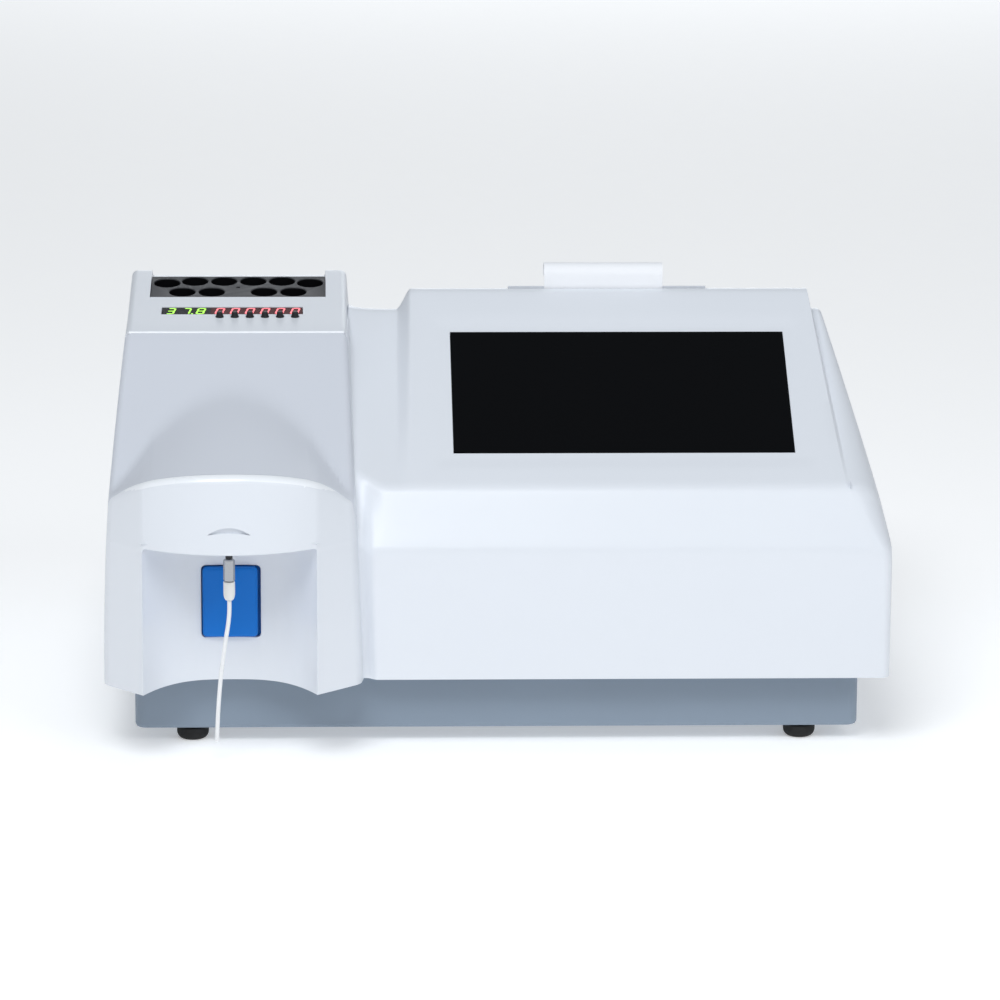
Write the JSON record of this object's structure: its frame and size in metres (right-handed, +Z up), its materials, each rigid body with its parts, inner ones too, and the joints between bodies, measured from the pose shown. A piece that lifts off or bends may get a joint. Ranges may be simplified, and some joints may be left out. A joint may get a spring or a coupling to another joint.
{
  "type": "benchtop chemistry analyzer",
  "caption": "Semi-automatic benchtop chemistry analyzer: white moulded cover with a sampling tower, tube wells and printer, and a sloping touch display, on a blue-grey tray with feet.",
  "frame": {"origin": "centre of the footprint, on the table", "axes": "+X to the right along the display's width, +Y from the front to the rear, +Z up"},
  "size_m": [0.355, 0.3, 0.196],
  "materials": {
    "cover_white": "satin moulded plastic, light and fine-grained",
    "tray_grey": "blue-grey satin paint",
    "black_plastic": "black moulded plastic",
    "screen_glass": "switched-off display under glossy glass",
    "block_grey": "dark grey, satin",
    "button_blue": "blue moulded plastic",
    "steel": "turned and polished",
    "sheet_metal": "bare sheet and castings",
    "foot_rubber": "black rubber",
    "board_green": "green circuit board",
    "paper_white": "smooth thermal paper",
    "timer_lens": "dark red tinted lens over lit digits",
    "clear_glass": "polished",
    "natural_plastic": "natural white engineering plastic",
    "tube_white": "smooth fluoropolymer tube"
  },
  "bodies": {
    "housing": {"upper_cover": "cover_white", "access_hinge_rod": "steel", "printer_hinge_rod": "steel", "base_tray": "tray_grey", "foot_front_left": "foot_rubber", "foot_rear_left": "foot_rubber", "foot_front_right": "foot_rubber", "foot_rear_right": "foot_rubber", "touch_glass": "screen_glass", "lcd_panel": "block_grey", "display_bracket": "sheet_metal", "display_board": "board_green", "incubator_block": "block_grey", "heater_plate": "sheet_metal", "timer_window": "timer_lens", "timer_board": "board_green", "sample_switch": "black_plastic", "switch_bracket": "sheet_metal", "nozzle_fitting": "black_plastic", "nozzle_collar": "steel", "nozzle_ferrule": "natural_plastic", "sipper_tube": "tube_white", "chassis": "sheet_metal", "pump_housing": "natural_plastic", "pump_motor": "steel", "lamp_house": "sheet_metal", "lamp": "clear_glass", "cell_holder": "black_plastic", "flow_cell": "steel", "condenser_lens": "clear_glass", "filter_bracket": "sheet_metal", "filter_motor": "steel", "detector": "block_grey", "printer_bay": "block_grey", "print_head": "sheet_metal", "main_board": "board_green", "power_supply": "sheet_metal", "rear_panel": "sheet_metal", "fan_frame": "black_plastic", "power_inlet": "black_plastic", "switch_frame": "black_plastic", "data_port": "steel", "waste_port": "natural_plastic"},
    "access_lid": {"access_lid": "cover_white"},
    "sample_button": {"sample_button": "button_blue"},
    "printer_lid": {"printer_lid": "cover_white", "paper_strip": "paper_white"},
    "platen": {"platen_roller": "foot_rubber"},
    "paper_roll": {"paper_roll": "paper_white"},
    "pump_rotor": {"pump_rotor": "black_plastic"},
    "filter_wheel": {"filter_wheel": "black_plastic"},
    "fan_rotor": {"fan_rotor": "black_plastic"},
    "power_rocker": {"power_rocker": "black_plastic"},
    "timer_button_1": {"timer_button_1": "black_plastic"},
    "timer_button_2": {"timer_button_2": "black_plastic"},
    "timer_button_3": {"timer_button_3": "black_plastic"},
    "timer_button_4": {"timer_button_4": "black_plastic"},
    "timer_button_5": {"timer_button_5": "black_plastic"},
    "timer_button_6": {"timer_button_6": "black_plastic"}
  },
  "joints": [
    {"name": "access_lid_hinge", "type": "hinge", "parent": "housing", "child": "access_lid", "pos_m": [-0.1185, -0.019, 0.17289], "axis": [-1, 0, 0], "range_deg": [0, 75]},
    {"name": "sample_button_press", "type": "slide", "parent": "housing", "child": "sample_button", "axis": [0, 1, 0], "range_m": [0, 0.0025], "stiffness_N_per_m": 400, "springref_m": -0.001},
    {"name": "timer_button_1_press", "type": "slide", "parent": "housing", "child": "timer_button_1", "axis": [0, 0.1409, -0.99], "range_m": [0, 0.001], "stiffness_N_per_m": 500, "springref_m": -0.0005},
    {"name": "timer_button_2_press", "type": "slide", "parent": "housing", "child": "timer_button_2", "axis": [0, 0.1409, -0.99], "range_m": [0, 0.001], "stiffness_N_per_m": 500, "springref_m": -0.0005},
    {"name": "timer_button_3_press", "type": "slide", "parent": "housing", "child": "timer_button_3", "axis": [0, 0.1409, -0.99], "range_m": [0, 0.001], "stiffness_N_per_m": 500, "springref_m": -0.0005},
    {"name": "timer_button_4_press", "type": "slide", "parent": "housing", "child": "timer_button_4", "axis": [0, 0.1409, -0.99], "range_m": [0, 0.001], "stiffness_N_per_m": 500, "springref_m": -0.0005},
    {"name": "timer_button_5_press", "type": "slide", "parent": "housing", "child": "timer_button_5", "axis": [0, 0.1409, -0.99], "range_m": [0, 0.001], "stiffness_N_per_m": 500, "springref_m": -0.0005},
    {"name": "timer_button_6_press", "type": "slide", "parent": "housing", "child": "timer_button_6", "axis": [0, 0.1409, -0.99], "range_m": [0, 0.001], "stiffness_N_per_m": 500, "springref_m": -0.0005},
    {"name": "printer_lid_hinge", "type": "hinge", "parent": "housing", "child": "printer_lid", "pos_m": [0.05505, 0.0919, 0.16508], "axis": [-1, 0, 0], "range_deg": [0, 80]},
    {"name": "platen_turn", "type": "hinge", "parent": "printer_lid", "child": "platen", "pos_m": [0.0534, 0.0296, 0.1735], "axis": [1, 0, 0], "continuous": true},
    {"name": "paper_roll_turn", "type": "hinge", "parent": "housing", "child": "paper_roll", "pos_m": [0.0534, 0.06, 0.1419], "axis": [1, 0, 0], "continuous": true},
    {"name": "pump_turn", "type": "hinge", "parent": "housing", "child": "pump_rotor", "pos_m": [-0.096, -0.058, 0.1095], "axis": [0, 0, 1], "continuous": true},
    {"name": "filter_wheel_turn", "type": "hinge", "parent": "housing", "child": "filter_wheel", "pos_m": [-0.103, -0.01, 0.1333], "axis": [1, 0, 0], "continuous": true},
    {"name": "fan_turn", "type": "hinge", "parent": "housing", "child": "fan_rotor", "pos_m": [-0.012, 0.1385, 0.08301], "axis": [0, 1, 0], "continuous": true},
    {"name": "power_rocker_tilt", "type": "hinge", "parent": "housing", "child": "power_rocker", "pos_m": [0.112, 0.14675, 0.10003], "axis": [1, 0, 0], "range_deg": [0, 16]}
  ],
  "couplings": [
    {"joint": "platen_turn", "follows": "paper_roll_turn", "ratio": 4.75}
  ]
}
